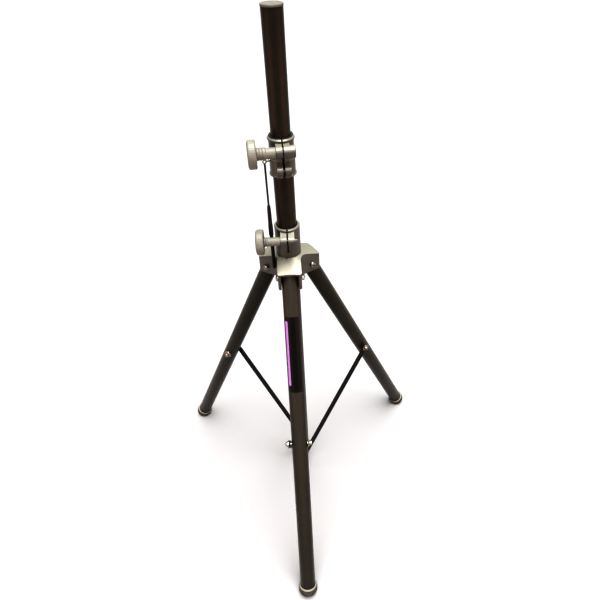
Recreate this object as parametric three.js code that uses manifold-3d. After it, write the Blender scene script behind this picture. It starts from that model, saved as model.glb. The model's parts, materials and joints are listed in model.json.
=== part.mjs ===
// Speaker tripod stand: a telescoping mast on three braced legs that fold up against it.
// Millimetres, +Z up, standing on z = 0, front leg towards -Y, clamp knobs towards -X.
import * as THREE from "three";
import { mergeVertices } from "three/addons/utils/BufferGeometryUtils.js";
import Module from "manifold-3d";

// ---- Driving dimensions ----
const SHAFT_R = 17.5; // 35 mm speaker pole
const SHAFT_WALL = 1.4;
const MAST_R = 19.05; // 1 1/2 inch main tube
const MAST_BORE_R = 17.85;
const LEG_R = 17.5;
const LEG_WALL = 1.5;
const GAP = 0.3; // clearance kept between separate pieces

const STAND_TOP_Z = 1191;
const MAST_BOTTOM_Z = 28;
const MAST_TOP_Z = 955;
const SHAFT_BOTTOM_Z = 64;
const STRAP_PIVOT_Z = 46;

const LEG_TILT = THREE.MathUtils.degToRad(24.62);
const FOOT_RIM = { r: 354.84, z: 22 }; // where the leg axis leaves the rubber foot
const LEG_PIVOT_S = 752; // distances along the leg from the foot rim
const BRACE_BOLT_S = 375;
const LEG_TOP_S = LEG_PIVOT_S + 12;
const LEG_BOTTOM_S = -10;

const STRAP_T = -22; // offset of a strap's middle plane from its leg's middle plane
const STRAP_WIDTH = 15;
const STRAP_THICK = 3.5;

const LOBE_HALF = 24; // leg housing: three hollow lobes under a split collar
const LOBE_WALL = 6;
const LOBE_REACH = 60.5;
const LOBE_FILLET = 21;
const LOBE_BOTTOM_Z = 689;
const LOBE_TOP = { r: 25, z: 742, slope: 0.41 };
const HOUSING_COLLAR_R = 25;
const HOUSING_TOP_Z = 808;
const LOWER_SCREW = { y: -31.5, z: 788 };

const COLLAR_BOTTOM_Z = 917; // upper collar on top of the main tube
const COLLAR_TOP_Z = 988;
const COLLAR_TURN = THREE.MathUtils.degToRad(5.3);
const UPPER_SCREW = { y: -32, z: 970 };
const PINCH_SCREW = { y: -30, z: 934 };

const KNOB_R = 25;
const KNOB_X = [-61, -45.7];
const LOWER_EAR_X = 13.5; // distance of an ear's outer face from the slit's middle
const UPPER_EAR_X = 12;
const PINCH_EAR_X = 12.6;
const BARREL_R = 10.8; // the upper clamp's ears carry a barrel that goes on past the far ear
const BARREL_END_X = 21.5;
const INSERT_R = 6.2; // threaded insert in that barrel
const LOWER_NUT = { flats: 13, thick: 5.2 }; // sunk in a pocket in its ear
const PINCH_POCKET = 5.6; // depth of the pockets that hide the pinch bolt's head and nut

const PIN_AT = { x: -31, y: -17.2 }; // the lock pin hangs in the corner between two lobes
const CORD_TOP_Z = 942.5;
const CORD_BOTTOM_Z = 860;
const CORD_R = 1.8;

// Facets round a full circle, by the size of what is round, and along a drawn arc.
const WIDE = 24;
const MIDDLE = 16;
const NARROW = 10;
const ARC = 4;

const LEGS = { front: -90, right: 30, left: 150 }; // bearings in degrees, from +X

const wasm = await Module();
wasm.setup();

// ---- Solids from three.js geometries ----
function toSolid(geometry) {
  const bare = geometry.index ? geometry.toNonIndexed() : geometry.clone();
  for (const name of Object.keys(bare.attributes)) {
    if (name !== "position") bare.deleteAttribute(name);
  }
  const merged = mergeVertices(bare, 1e-4);
  const index = merged.index.array;
  const triangles = [];
  for (let i = 0; i < index.length; i += 3) {
    const [a, b, c] = [index[i], index[i + 1], index[i + 2]];
    if (a !== b && b !== c && c !== a) triangles.push(a, b, c);
  }
  const build = (tris) =>
    new wasm.Manifold(
      new wasm.Mesh({
        numProp: 3,
        vertProperties: merged.attributes.position.array,
        triVerts: new Uint32Array(tris),
      }),
    );
  const made = build(triangles);
  if (made.volume() > 0) return made;
  for (let i = 0; i < triangles.length; i += 3) {
    [triangles[i + 1], triangles[i + 2]] = [triangles[i + 2], triangles[i + 1]];
  }
  return build(triangles);
}

function toGeometry(solid) {
  const { numProp, vertProperties, triVerts } = solid.getMesh();
  const count = vertProperties.length / numProp;
  const position = new Float32Array(count * 3);
  for (let i = 0; i < count; i++) {
    position.set(vertProperties.subarray(i * numProp, i * numProp + 3), i * 3);
  }
  const geometry = new THREE.BufferGeometry();
  geometry.setAttribute("position", new THREE.BufferAttribute(position, 3));
  geometry.setIndex(new THREE.BufferAttribute(new Uint32Array(triVerts), 1));
  geometry.computeVertexNormals();
  return geometry;
}

const join = (first, ...rest) => rest.reduce((sum, next) => sum.add(next), first);
const cut = (first, ...rest) => rest.reduce((left, next) => left.subtract(next), first);

// A solid of revolution about Z. The profile is a list of [radius, z].
function turned(profile, segments = MIDDLE, matrix = null) {
  const points = profile.map(([r, z]) => new THREE.Vector2(r, z));
  const onAxis = profile[0][0] === 0 && profile[profile.length - 1][0] === 0;
  if (!onAxis) points.push(points[0].clone());
  const geometry = new THREE.LatheGeometry(points, segments);
  geometry.rotateX(Math.PI / 2);
  if (matrix) geometry.applyMatrix4(matrix);
  return toSolid(geometry);
}

const rod = (r, z0, z1, segments = MIDDLE, matrix = null) =>
  turned([[0, z0], [r, z0], [r, z1], [0, z1]], segments, matrix);
const pipe = (inner, outer, z0, z1, segments = MIDDLE, matrix = null) =>
  turned([[inner, z0], [outer, z0], [outer, z1], [inner, z1]], segments, matrix);

function box([x0, x1], [y0, y1], [z0, z1], matrix = null) {
  const geometry = new THREE.BoxGeometry(x1 - x0, y1 - y0, z1 - z0);
  geometry.translate((x0 + x1) / 2, (y0 + y1) / 2, (z0 + z1) / 2);
  if (matrix) geometry.applyMatrix4(matrix);
  return toSolid(geometry);
}

// An outline drawn in the plane of two axes and raised along the third.
function raised(shape, depth, matrix, curveSegments = ARC) {
  const geometry = new THREE.ExtrudeGeometry(shape, {
    depth,
    bevelEnabled: false,
    curveSegments,
  });
  geometry.applyMatrix4(matrix);
  return toSolid(geometry);
}

// Frames that lay a turned piece along X or Y through a point.
const at = (x, y, z) => new THREE.Matrix4().makeTranslation(x, y, z);
const alongX = (x, y, z) => at(x, y, z).multiply(new THREE.Matrix4().makeRotationY(Math.PI / 2));
const alongY = (x, y, z) => at(x, y, z).multiply(new THREE.Matrix4().makeRotationX(-Math.PI / 2));

const hexNut = (acrossFlats, thickness, boreR, matrix) => {
  const body = rod(acrossFlats / Math.sqrt(3), 0, thickness, 6, matrix);
  return boreR ? cut(body, rod(boreR, -1, thickness + 1, NARROW, matrix)) : body;
};

// ---- Materials ----
const finish = (color, roughness, metalness) =>
  new THREE.MeshStandardMaterial({ color, roughness, metalness });
const MATERIALS = {
  tube: finish(0x1e1a16, 0.42, 0.3),
  casting: finish(0x4b473f, 0.5, 0.4),
  knob: finish(0x8b8377, 0.6, 0.05),
  plastic: finish(0x201e1c, 0.6, 0),
  cap: finish(0xcfc6b4, 0.6, 0),
  rubber: finish(0x2a2621, 0.85, 0),
  steel: finish(0xc9c4b8, 0.3, 0.9),
  strap: finish(0x15130f, 0.5, 0.3),
  cord: finish(0x0e0e0e, 0.6, 0),
};

const group = new THREE.Group();

function addMesh(name, solid, material, parent = group) {
  const mesh = new THREE.Mesh(toGeometry(solid), MATERIALS[material]);
  mesh.name = name;
  parent.add(mesh);
  return mesh;
}

// ---- Inner shaft: 35 mm pole, its top cap, its glide bush and its lock-pin holes ----
function addInnerShaft() {
  const innerR = SHAFT_R - SHAFT_WALL;
  const capSkirt = 4.5;
  const tubeTop = STAND_TOP_Z - capSkirt;
  const tube = pipe(innerR, SHAFT_R, SHAFT_BOTTOM_Z, tubeTop, WIDE);
  const pinHoles = [500, 620, 740, 860].map((z) =>
    rod(3.6, -30, 30, NARROW, alongX(0, 0, z)),
  );
  addMesh("inner_shaft", cut(tube, ...pinHoles), "tube");

  const spigotR = innerR - GAP;
  const spigotBottom = tubeTop - 24;
  const capR = SHAFT_R + 0.5;
  addMesh(
    "shaft_top_cap",
    turned([
      [0, spigotBottom], [spigotR, spigotBottom], [spigotR, tubeTop + GAP],
      [capR, tubeTop + GAP], [capR, STAND_TOP_Z - 1.6], [capR - 1.6, STAND_TOP_Z], [0, STAND_TOP_Z],
    ], WIDE),
    "cap",
  );

  const bushR = MAST_BORE_R - GAP;
  addMesh(
    "shaft_glide_bush",
    turned([
      [0, SHAFT_BOTTOM_Z - 4], [bushR, SHAFT_BOTTOM_Z - 4], [bushR, SHAFT_BOTTOM_Z - GAP],
      [spigotR, SHAFT_BOTTOM_Z - GAP], [spigotR, SHAFT_BOTTOM_Z + 22], [0, SHAFT_BOTTOM_Z + 22],
    ], WIDE),
    "plastic",
  );
}

// ---- Main tube, its bottom plug and the screws that the straps turn on ----
function strapScrewFrame(bearing) {
  return new THREE.Matrix4().makeRotationZ(THREE.MathUtils.degToRad(bearing));
}

function addMainTube() {
  const screwHoles = (radius) =>
    Object.values(LEGS).map((bearing) =>
      rod(radius, -30, 0, NARROW, strapScrewFrame(bearing).multiply(alongY(0, 0, STRAP_PIVOT_Z))),
    );
  const tube = pipe(MAST_BORE_R, MAST_R, MAST_BOTTOM_Z, MAST_TOP_Z, WIDE);
  addMesh("main_tube", cut(tube, ...screwHoles(3.3)), "tube");

  const plug = turned([
    [0, MAST_BOTTOM_Z - 4], [MAST_R - 1.5, MAST_BOTTOM_Z - 4], [MAST_R, MAST_BOTTOM_Z - 2.5],
    [MAST_R, MAST_BOTTOM_Z - GAP], [MAST_BORE_R - GAP, MAST_BOTTOM_Z - GAP],
    [MAST_BORE_R - GAP, MAST_BOTTOM_Z + 28], [0, MAST_BOTTOM_Z + 28],
  ], WIDE);
  addMesh("main_tube_bottom_plug", cut(plug, ...screwHoles(3.3)), "plastic");
}

// ---- Clamp ears: a pair of rounded lugs on both sides of a collar's slit ----
// The outline is drawn in (distance in front of the mast, height).
function earOutline(screw, backTopZ, backBottomZ, lugR) {
  const reach = -screw.y;
  const shape = new THREE.Shape();
  shape.moveTo(MAST_R + 1.5, backBottomZ);
  shape.lineTo(reach, screw.z - lugR);
  shape.absarc(reach, screw.z, lugR, -Math.PI / 2, Math.PI / 2, false);
  shape.lineTo(MAST_R + 1.5, backTopZ);
  shape.closePath();
  return shape;
}

function ears(screw, backTopZ, backBottomZ, lugR, halfSpan) {
  // Columns: outline x runs towards -Y, outline y runs up, depth runs along X.
  const frame = new THREE.Matrix4()
    .makeBasis(new THREE.Vector3(0, -1, 0), new THREE.Vector3(0, 0, 1), new THREE.Vector3(-1, 0, 0))
    .setPosition(halfSpan, 0, 0);
  return raised(earOutline(screw, backTopZ, backBottomZ, lugR), 2 * halfSpan, frame);
}

// ---- Upper collar: clamps the main tube below and grips the inner shaft above ----
function addUpperCollar() {
  const collar = new THREE.Group();
  collar.rotation.z = COLLAR_TURN;
  group.add(collar);

  const bottom = COLLAR_BOTTOM_Z;
  const top = COLLAR_TOP_Z;
  const flangeZ = [949, 955.5];
  const sleeve = turned([
    [17, bottom], [24.3, bottom], [24.3, bottom + 2.5], [23.2, bottom + 4], [23.2, flangeZ[0]],
    [25, flangeZ[0] + 1], [25, flangeZ[1] - 1], [24, flangeZ[1]], [22.4, flangeZ[1] + 1],
    [22.4, top - 5], [23.6, top - 2.5], [23.6, top], [17, top],
  ], WIDE);
  const upperAxis = alongX(0, UPPER_SCREW.y, UPPER_SCREW.z);
  const solid = join(
    sleeve,
    ears(UPPER_SCREW, 982, 957, BARREL_R, UPPER_EAR_X),
    ears(PINCH_SCREW, 945, 922, 7.5, PINCH_EAR_X),
    rod(BARREL_R, UPPER_EAR_X - 4, BARREL_END_X, MIDDLE, upperAxis),
  );
  const pinchAxis = (x) => alongX(x, PINCH_SCREW.y, PINCH_SCREW.z);
  const mastBoreR = MAST_R + GAP;
  const linerSeatR = 20.3;
  const linerZ = MAST_TOP_Z + 2;
  const slitHalf = 1.3;
  const hollow = [
    rod(mastBoreR, bottom - 1, linerZ, WIDE),
    rod(linerSeatR, linerZ, top + 1, WIDE),
    box([-slitHalf, slitHalf], [-60, 0], [linerZ - 3, top + 1]),
    box([-2.2, 2.2], [-60, 0], [bottom - 1, linerZ - 2]),
    rod(4.4, -40, 0, NARROW, upperAxis),
    rod(INSERT_R + GAP, 0, BARREL_END_X + 1, NARROW, upperAxis),
    rod(3.4, -40, 40, NARROW, pinchAxis(0)),
    rod(5.4, -40, PINCH_POCKET - PINCH_EAR_X, NARROW, pinchAxis(0)),
    hexNut(10.7, 20, 0, pinchAxis(PINCH_EAR_X - PINCH_POCKET)),
  ];
  addMesh("upper_collar", cut(solid, ...hollow), "casting", collar);

  const linerBore = SHAFT_R + 0.35;
  const liner = turned([
    [linerBore, linerZ + GAP], [20, linerZ + GAP], [20, top + GAP],
    [21.6, top + GAP], [21.6, top + 1.8], [linerBore, top + 1.8],
  ], WIDE);
  const linerSlit = box([-slitHalf, slitHalf], [-60, 0], [linerZ - 2, top + 4]);
  addMesh("upper_collar_liner", cut(liner, linerSlit), "plastic", collar);

  addClampScrew(collar, "upper", UPPER_SCREW);
  addPinchBolt(collar, pinchAxis);
}

// The hexagon-socket bolt that pinches the collar's lower half onto the main tube.
function addPinchBolt(parent, axis) {
  const headThick = 5;
  const seat = PINCH_EAR_X - PINCH_POCKET + GAP; // distance of both pockets' floors, and a gap
  const bolt = cut(
    join(
      rod(3, -seat - 1, PINCH_EAR_X, NARROW, axis(0)),
      rod(5, -seat - headThick, -seat, NARROW, axis(0)),
    ),
    rod(2.9, -seat - headThick - 1, -seat - 2, 6, axis(0)),
  );
  addMesh("collar_pinch_bolt", bolt, "steel", parent);
  addMesh("collar_pinch_nut", hexNut(10, 5, 3.3, axis(seat)), "steel", parent);
}

// ---- Clamp knob: fluted disc, sleeve, screw and the nut that it pulls on ----
function addClampScrew(parent, name, screw) {
  const axis = (x) => alongX(x, screw.y, screw.z);
  const [x0, x1] = KNOB_X;
  const thick = x1 - x0;
  const disc = turned([
    [0, 0], [KNOB_R - 3.5, 0], [KNOB_R, 3], [KNOB_R, thick - 3], [KNOB_R - 3.5, thick],
    [4.6, thick], [4.6, thick - 8], [0, thick - 8],
  ], WIDE, axis(x0));
  addMesh(name + "_knob", disc, "knob", parent);

  const upper = name === "upper";
  const ear = upper ? UPPER_EAR_X : LOWER_EAR_X;
  const sleeveEnd = -ear - GAP;
  const flangeX = upper ? x1 + 16 : x1 + 6;
  const flangeR = upper ? 11 : 9.8;
  const barrelR = upper ? 9.3 : 8.4;
  const ribs = upper ? [4.2, 9.2] : [];
  const ribbed = ribs.flatMap((d) => [
    [11, x1 + d], [9.6, x1 + d + 0.7], [11, x1 + d + 1.4],
  ]);
  const sleeve = turned([
    [4.6, x1 + GAP], [flangeR, x1 + GAP], ...ribbed, [flangeR, flangeX], [barrelR, flangeX + 0.6],
    [barrelR, sleeveEnd], [4.6, sleeveEnd],
  ], MIDDLE, axis(0));
  addMesh(name + "_knob_sleeve", sleeve, "knob", parent);

  // Above, the screw ends in a threaded insert; below, it comes out through a nut.
  const screwEnd = upper ? BARREL_END_X - 1.5 : ear + 5.5;
  addMesh(name + "_clamp_screw", rod(4, x1 - 7.6, screwEnd, NARROW, axis(0)), "steel", parent);
  if (upper) {
    const insert = pipe(4.3, INSERT_R, 1.8, BARREL_END_X - 0.5, NARROW, axis(0));
    addMesh("upper_clamp_insert", insert, "steel", parent);
  } else {
    const nut = hexNut(LOWER_NUT.flats, LOWER_NUT.thick, 4.3, axis(ear - GAP - LOWER_NUT.thick));
    addMesh("lower_clamp_nut", nut, "steel", parent);
  }
}

// ---- Leg housing ----
// Plan of the three lobes: straight cheeks, round outer corners, wide concave fillets between.
function lobePlan(half, reach, fillet, cornerR) {
  const shape = new THREE.Shape();
  const centre = (half + fillet) / Math.sin(Math.PI / 3);
  Object.values(LEGS).forEach((bearing, i) => {
    const a = THREE.MathUtils.degToRad(bearing);
    const c = Math.cos(a);
    const s = Math.sin(a);
    const place = (r, t) => [r * c - t * s, r * s + t * c];
    const tangent = centre * Math.cos(Math.PI / 3);
    const start = place(tangent, -half);
    if (i === 0) shape.moveTo(...start);
    shape.lineTo(...place(reach - cornerR, -half));
    shape.absarc(...place(reach - cornerR, -half + cornerR), cornerR, a - Math.PI / 2, a, false);
    shape.lineTo(...place(reach, half - cornerR));
    shape.absarc(...place(reach - cornerR, half - cornerR), cornerR, a, a + Math.PI / 2, false);
    shape.lineTo(...place(tangent, half));
    const mid = a + Math.PI / 3;
    shape.absarc(
      centre * Math.cos(mid), centre * Math.sin(mid), fillet,
      a - Math.PI / 2, a - Math.PI / 2 - Math.PI / 3, true,
    );
  });
  return shape;
}

// Everything below the sloping top of the lobes, lowered by drop.
function underLobeTop(drop) {
  const far = 80;
  const height = (r) => LOBE_TOP.z - drop - (r - LOBE_TOP.r) * LOBE_TOP.slope;
  return turned([
    [0, LOBE_BOTTOM_Z - 5], [far, LOBE_BOTTOM_Z - 5], [far, height(far)],
    [LOBE_TOP.r, height(LOBE_TOP.r)], [0, height(LOBE_TOP.r)],
  ], MIDDLE);
}

const legPivot = {
  r: FOOT_RIM.r - LEG_PIVOT_S * Math.sin(LEG_TILT),
  z: FOOT_RIM.z + LEG_PIVOT_S * Math.cos(LEG_TILT),
};

function spokeMatrix(bearing) {
  return new THREE.Matrix4().makeRotationZ(THREE.MathUtils.degToRad(bearing));
}

function addLegHousing() {
  const depth = LOBE_TOP.z - LOBE_BOTTOM_Z;
  const outline = lobePlan(LOBE_HALF, LOBE_REACH, LOBE_FILLET, 4);
  const lobes = raised(outline, depth, at(0, 0, LOBE_BOTTOM_Z)).intersect(underLobeTop(0));
  const innerHalf = LOBE_HALF - LOBE_WALL;
  const cavity = raised(
    lobePlan(innerHalf, LOBE_REACH + 10, LOBE_FILLET + LOBE_WALL, 1),
    depth + 10, at(0, 0, LOBE_BOTTOM_Z - 4),
  ).intersect(underLobeTop(4));
  const ringTop = LOBE_BOTTOM_Z + 10;
  const guideRing = rod(23.2, LOBE_BOTTOM_Z, ringTop, WIDE);
  const webs = Object.values(LEGS).map((bearing) =>
    box([21, 29.5], [-3, 3], [LOBE_BOTTOM_Z, ringTop], spokeMatrix(bearing + 60)),
  );
  const collar = turned([
    [0, LOBE_TOP.z - 6], [HOUSING_COLLAR_R, LOBE_TOP.z - 6], [HOUSING_COLLAR_R, HOUSING_TOP_Z - 1],
    [HOUSING_COLLAR_R - 1, HOUSING_TOP_Z], [0, HOUSING_TOP_Z],
  ], WIDE);
  const solid = join(
    cut(lobes, cavity), guideRing, ...webs, collar,
    ears(LOWER_SCREW, 803, 774, 10, LOWER_EAR_X),
  );

  const slitBottom = 757;
  const nutPocketX = LOWER_EAR_X - LOWER_NUT.thick - 2 * GAP;
  const linerSeatR = 21.3;
  const linerZ = 746;
  const slit = box([-1.5, 1.5], [-60, 0], [slitBottom, HOUSING_TOP_Z + 1]);
  const pivotHoles = Object.values(LEGS).map((bearing) =>
    rod(4.4, -40, 40, NARROW, spokeMatrix(bearing).multiply(alongY(legPivot.r, 0, legPivot.z))),
  );
  const hollow = [
    rod(MAST_R + GAP, LOBE_BOTTOM_Z - 1, HOUSING_TOP_Z + 1, WIDE),
    rod(linerSeatR, linerZ, HOUSING_TOP_Z + 1, WIDE),
    slit,
    rod(2.6, -40, 0, NARROW, alongY(0, 0, slitBottom)),
    rod(4.4, -40, 40, NARROW, alongX(0, LOWER_SCREW.y, LOWER_SCREW.z)),
    hexNut(LOWER_NUT.flats + 0.7, 20, 0, alongX(nutPocketX, LOWER_SCREW.y, LOWER_SCREW.z)),
    ...pivotHoles,
  ];
  addMesh("leg_housing", cut(solid, ...hollow), "casting");

  const liner = cut(
    pipe(MAST_R + GAP, linerSeatR - GAP, linerZ + GAP, HOUSING_TOP_Z - 1.5, WIDE),
    box([-1.5, 1.5], [-60, 0], [linerZ - 1, HOUSING_TOP_Z + 1]),
  );
  addMesh("leg_housing_liner", liner, "plastic");
  addClampScrew(group, "lower", LOWER_SCREW);
}

// ---- One leg with its plug, foot, pivot bolt, brace strap and their fasteners ----
function addLeg(name, bearing) {
  const spoke = new THREE.Group(); // x outwards, y anticlockwise, z up
  spoke.rotation.z = THREE.MathUtils.degToRad(bearing);
  group.add(spoke);
  const leg = new THREE.Group(); // z up along the leg from the foot's rim
  leg.position.set(FOOT_RIM.r, 0, FOOT_RIM.z);
  leg.rotation.y = -LEG_TILT;
  spoke.add(leg);

  const innerR = LEG_R - LEG_WALL;
  const pivotHole = (r) => rod(r, -30, 30, NARROW, alongY(0, 0, LEG_PIVOT_S));
  const braceHole = (r) => rod(r, -30, 30, NARROW, alongY(0, 0, BRACE_BOLT_S));
  const tube = pipe(innerR, LEG_R, LEG_BOTTOM_S, LEG_TOP_S, WIDE);
  addMesh("leg_tube_" + name, cut(tube, pivotHole(4.6), braceHole(3.4)), "tube", leg);

  const plugR = innerR - GAP;
  const plug = rod(plugR, LEG_TOP_S - 26, LEG_TOP_S - 0.5, WIDE);
  addMesh("leg_top_plug_" + name, cut(plug, pivotHole(4.6)), "plastic", leg);

  addFoot(name, spoke);
  addPivotBolt(name, spoke);
  addBraceBolt(name, leg);
  addBrace(name, spoke);
}

function addFoot(name, spoke) {
  const footR = 21.5;
  const soleS = -22;
  const edgeR = 9;
  const boreR = LEG_R + GAP;
  const rounding = [0, 35, 65, 90].map((deg) => {
    const a = THREE.MathUtils.degToRad(deg);
    return [footR - edgeR + edgeR * Math.sin(a), soleS + edgeR - edgeR * Math.cos(a)];
  });
  const profile = [
    [0, soleS], ...rounding, [footR, -1], [footR - 1, 0], [boreR, 0],
    [boreR, LEG_BOTTOM_S - GAP], [0, LEG_BOTTOM_S - GAP],
  ];
  const tilt = at(FOOT_RIM.r, 0, FOOT_RIM.z).multiply(
    new THREE.Matrix4().makeRotationY(-LEG_TILT),
  );
  const floor = box([250, 450], [-60, 60], [0, 80]);
  addMesh("foot_" + name, turned(profile, WIDE, tilt).intersect(floor), "rubber", spoke);
}

function addPivotBolt(name, spoke) {
  const axis = (t) => alongY(legPivot.r, t, legPivot.z);
  const face = LOBE_HALF + GAP;
  const bolt = join(
    rod(4, -face - 1, face + 6.5, NARROW, axis(0)),
    turned([
      [0, -face - 5], [4.2, -face - 4.6], [6.6, -face - 2.4], [6.6, -face], [0, -face],
    ], NARROW, axis(0)),
  );
  addMesh("pivot_bolt_" + name, bolt, "steel", spoke);
  addMesh("pivot_nut_" + name, hexNut(11, 5, 4.3, axis(face)), "steel", spoke);
}

// The bolt stays with the leg and stops short of the strap, whose own nut and stud carry on from it.
function addBraceBolt(name, leg) {
  const axis = alongY(0, 0, BRACE_BOLT_S);
  const outer = LEG_R + GAP;
  const bolt = join(
    rod(3, -outer - 1.9, outer + 5, NARROW, axis),
    turned([
      [0, outer + 4.2], [5.2, outer + 4.2], [5.2, outer + 7.2], [3.4, outer + 9.2], [0, outer + 9.6],
    ], 6, axis),
  );
  addMesh("brace_bolt_" + name, bolt, "steel", leg);
  const washer = turned([
    [3.3, outer], [9.5, outer], [9.5, outer + 1], [6, outer + 3.9], [3.3, outer + 3.9],
  ], NARROW, axis);
  addMesh("brace_washer_" + name, washer, "steel", leg);
}

const braceBolt = {
  r: FOOT_RIM.r - BRACE_BOLT_S * Math.sin(LEG_TILT),
  z: FOOT_RIM.z + BRACE_BOLT_S * Math.cos(LEG_TILT),
};

// A flat strap with round ends, drawn in (outwards, up) and given its thickness along y.
function addBrace(name, spoke) {
  const rise = braceBolt.z - STRAP_PIVOT_Z;
  const length = Math.hypot(braceBolt.r, rise);
  const lean = Math.atan2(braceBolt.r, rise);
  const half = STRAP_WIDTH / 2;
  const shape = new THREE.Shape();
  shape.moveTo(half, 0);
  shape.lineTo(half, length);
  shape.absarc(0, length, half, 0, Math.PI, false);
  shape.lineTo(-half, 0);
  shape.absarc(0, 0, half, Math.PI, 2 * Math.PI, false);
  const hole = (z, r) => {
    const path = new THREE.Path();
    path.absarc(0, z, r, 0, 2 * Math.PI, true);
    return path;
  };
  const boltHoleR = 3.4;
  shape.holes.push(hole(0, boltHoleR), hole(length, boltHoleR));
  const near = STRAP_T + STRAP_THICK / 2;
  const far = STRAP_T - STRAP_THICK / 2;
  const brace = new THREE.Group(); // z up along the strap from its lower hole
  brace.position.set(0, 0, STRAP_PIVOT_Z);
  brace.rotation.y = lean;
  spoke.add(brace);
  const frame = new THREE.Matrix4()
    .makeBasis(new THREE.Vector3(1, 0, 0), new THREE.Vector3(0, 0, 1), new THREE.Vector3(0, -1, 0))
    .setPosition(0, near, 0);
  addMesh("brace_strap_" + name, raised(shape, STRAP_THICK, frame), "strap", brace);

  // Washer, dome nut and the stud that fills the strap's upper eye.
  const nut = turned([
    [0, near - GAP], [3.1, near - GAP], [3.1, far - GAP], [9, far - GAP], [9, far - 1.6],
    [6.4, far - 2], [6, far - 5], [3.6, far - 7], [0, far - 7.8],
  ].reverse(), NARROW, alongY(0, 0, length));
  addMesh("brace_nut_" + name, nut, "steel", brace);

  // Shoulder screw at the foot of the mast.
  const screw = turned([
    [0, -11], [3, -11], [3, far - GAP], [6, far - GAP], [6, far - 2.6], [4.4, far - 4], [0, far - 4],
  ], NARROW, alongY(0, 0, STRAP_PIVOT_Z));
  addMesh("strap_screw_" + name, screw, "steel", spoke);
}

// ---- Lock pin on its lanyard, hung from an eye on the upper collar ----
function addLanyard() {
  const { x, y } = PIN_AT;
  const bearing = Math.atan2(y, x);
  const reach = Math.hypot(x, y);
  const eyeZ = CORD_TOP_Z + GAP + 4.4;
  const ringR = 3.2;
  const wireR = 1.2;
  const ring = new THREE.TorusGeometry(ringR, wireR, 6, 14); // in the plane of its own x and y
  ring.applyMatrix4(
    at(x, y, eyeZ).multiply(new THREE.Matrix4().makeRotationZ(bearing))
      .multiply(new THREE.Matrix4().makeRotationX(Math.PI / 2)),
  );
  const shank = rod(
    1.6, 25.4, reach - ringR, NARROW,
    at(0, 0, eyeZ).multiply(new THREE.Matrix4().makeRotationZ(bearing))
      .multiply(new THREE.Matrix4().makeRotationY(Math.PI / 2)),
  );
  addMesh("lanyard_eye", join(toSolid(ring), shank), "steel");

  const route = new THREE.LineCurve3(
    new THREE.Vector3(x, y, CORD_TOP_Z),
    new THREE.Vector3(x, y, CORD_BOTTOM_Z + GAP),
  );
  const section = new THREE.Shape();
  const sides = 8;
  for (let i = 0; i < sides; i++) {
    const a = (i * 2 * Math.PI) / sides;
    const point = [CORD_R * Math.cos(a), CORD_R * Math.sin(a)];
    if (i === 0) section.moveTo(...point);
    else section.lineTo(...point);
  }
  const cord = new THREE.ExtrudeGeometry(section, { steps: 10, bevelEnabled: false, extrudePath: route });
  addMesh("lanyard_cord", toSolid(cord), "cord");

  const gripBottom = 799;
  const place = at(x, y, 0);
  addMesh(
    "lock_pin_grip",
    turned([
      [0, gripBottom + GAP], [4.5, gripBottom + GAP], [4.2, gripBottom + 24],
      [3.2, CORD_BOTTOM_Z - 2], [2.1, CORD_BOTTOM_Z], [0, CORD_BOTTOM_Z],
    ], NARROW, place),
    "plastic",
  );
  const pinBottom = 713;
  addMesh(
    "lock_pin",
    turned([
      [0, pinBottom], [2, pinBottom], [3.6, pinBottom + 3], [3.6, pinBottom + 10],
      [2.9, pinBottom + 11], [2.9, pinBottom + 13], [3.6, pinBottom + 14],
      [3.6, gripBottom - 4], [4.5, gripBottom - 4], [4.5, gripBottom], [0, gripBottom],
    ], NARROW, place),
    "strap",
  );
}

addInnerShaft();
addMainTube();
addUpperCollar();
addLegHousing();
for (const [name, bearing] of Object.entries(LEGS)) addLeg(name, bearing);
addLanyard();

// The origin is the middle of the footprint, on the floor.
const bounds = new THREE.Box3().setFromObject(group, true);
group.position.set(
  -(bounds.min.x + bounds.max.x) / 2,
  -(bounds.min.y + bounds.max.y) / 2,
  0,
);

export default group;
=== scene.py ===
"""The looks of a speaker tripod stand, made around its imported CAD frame.

Blender works in metres, +Z up, with the front leg towards -Y and the knobs towards -X.
Shapes are written in millimetres, and each is placed by a matrix, its frame, that turns
the shape's own millimetres into the row frame's metres.
"""

import json
import math

import bmesh
import bpy
from mathutils import Matrix, Vector


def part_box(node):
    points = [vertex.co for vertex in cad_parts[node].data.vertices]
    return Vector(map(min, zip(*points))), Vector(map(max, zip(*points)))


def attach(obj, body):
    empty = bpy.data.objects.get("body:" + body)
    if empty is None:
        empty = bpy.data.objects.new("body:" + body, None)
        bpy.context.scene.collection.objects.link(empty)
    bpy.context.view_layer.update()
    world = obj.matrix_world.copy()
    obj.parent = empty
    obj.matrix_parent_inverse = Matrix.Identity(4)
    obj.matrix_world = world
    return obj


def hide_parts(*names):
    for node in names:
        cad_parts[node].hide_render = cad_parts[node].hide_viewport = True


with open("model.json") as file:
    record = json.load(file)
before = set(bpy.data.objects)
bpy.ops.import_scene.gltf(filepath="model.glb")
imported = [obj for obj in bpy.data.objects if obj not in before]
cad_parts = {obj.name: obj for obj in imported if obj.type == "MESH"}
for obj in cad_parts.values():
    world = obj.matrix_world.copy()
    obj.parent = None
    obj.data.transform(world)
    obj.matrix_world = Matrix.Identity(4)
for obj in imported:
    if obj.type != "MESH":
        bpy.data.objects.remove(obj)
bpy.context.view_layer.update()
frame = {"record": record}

# ---- Places, worked out from the frame ----
MM = 0.001
RECORD = frame["record"]
BEHAVIOUR = RECORD["behaviour"]
BODY_OF = {node: body for body, nodes in BEHAVIOUR["bodies"].items() for node in nodes}
JOINTS = {joint["name"]: joint for joint in BEHAVIOUR["joints"]}
LEGS = {"front": -90, "right": 30, "left": 150}  # bearings in degrees, from +X


def low_z(node):
    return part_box(node)[0][2] / MM


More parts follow.
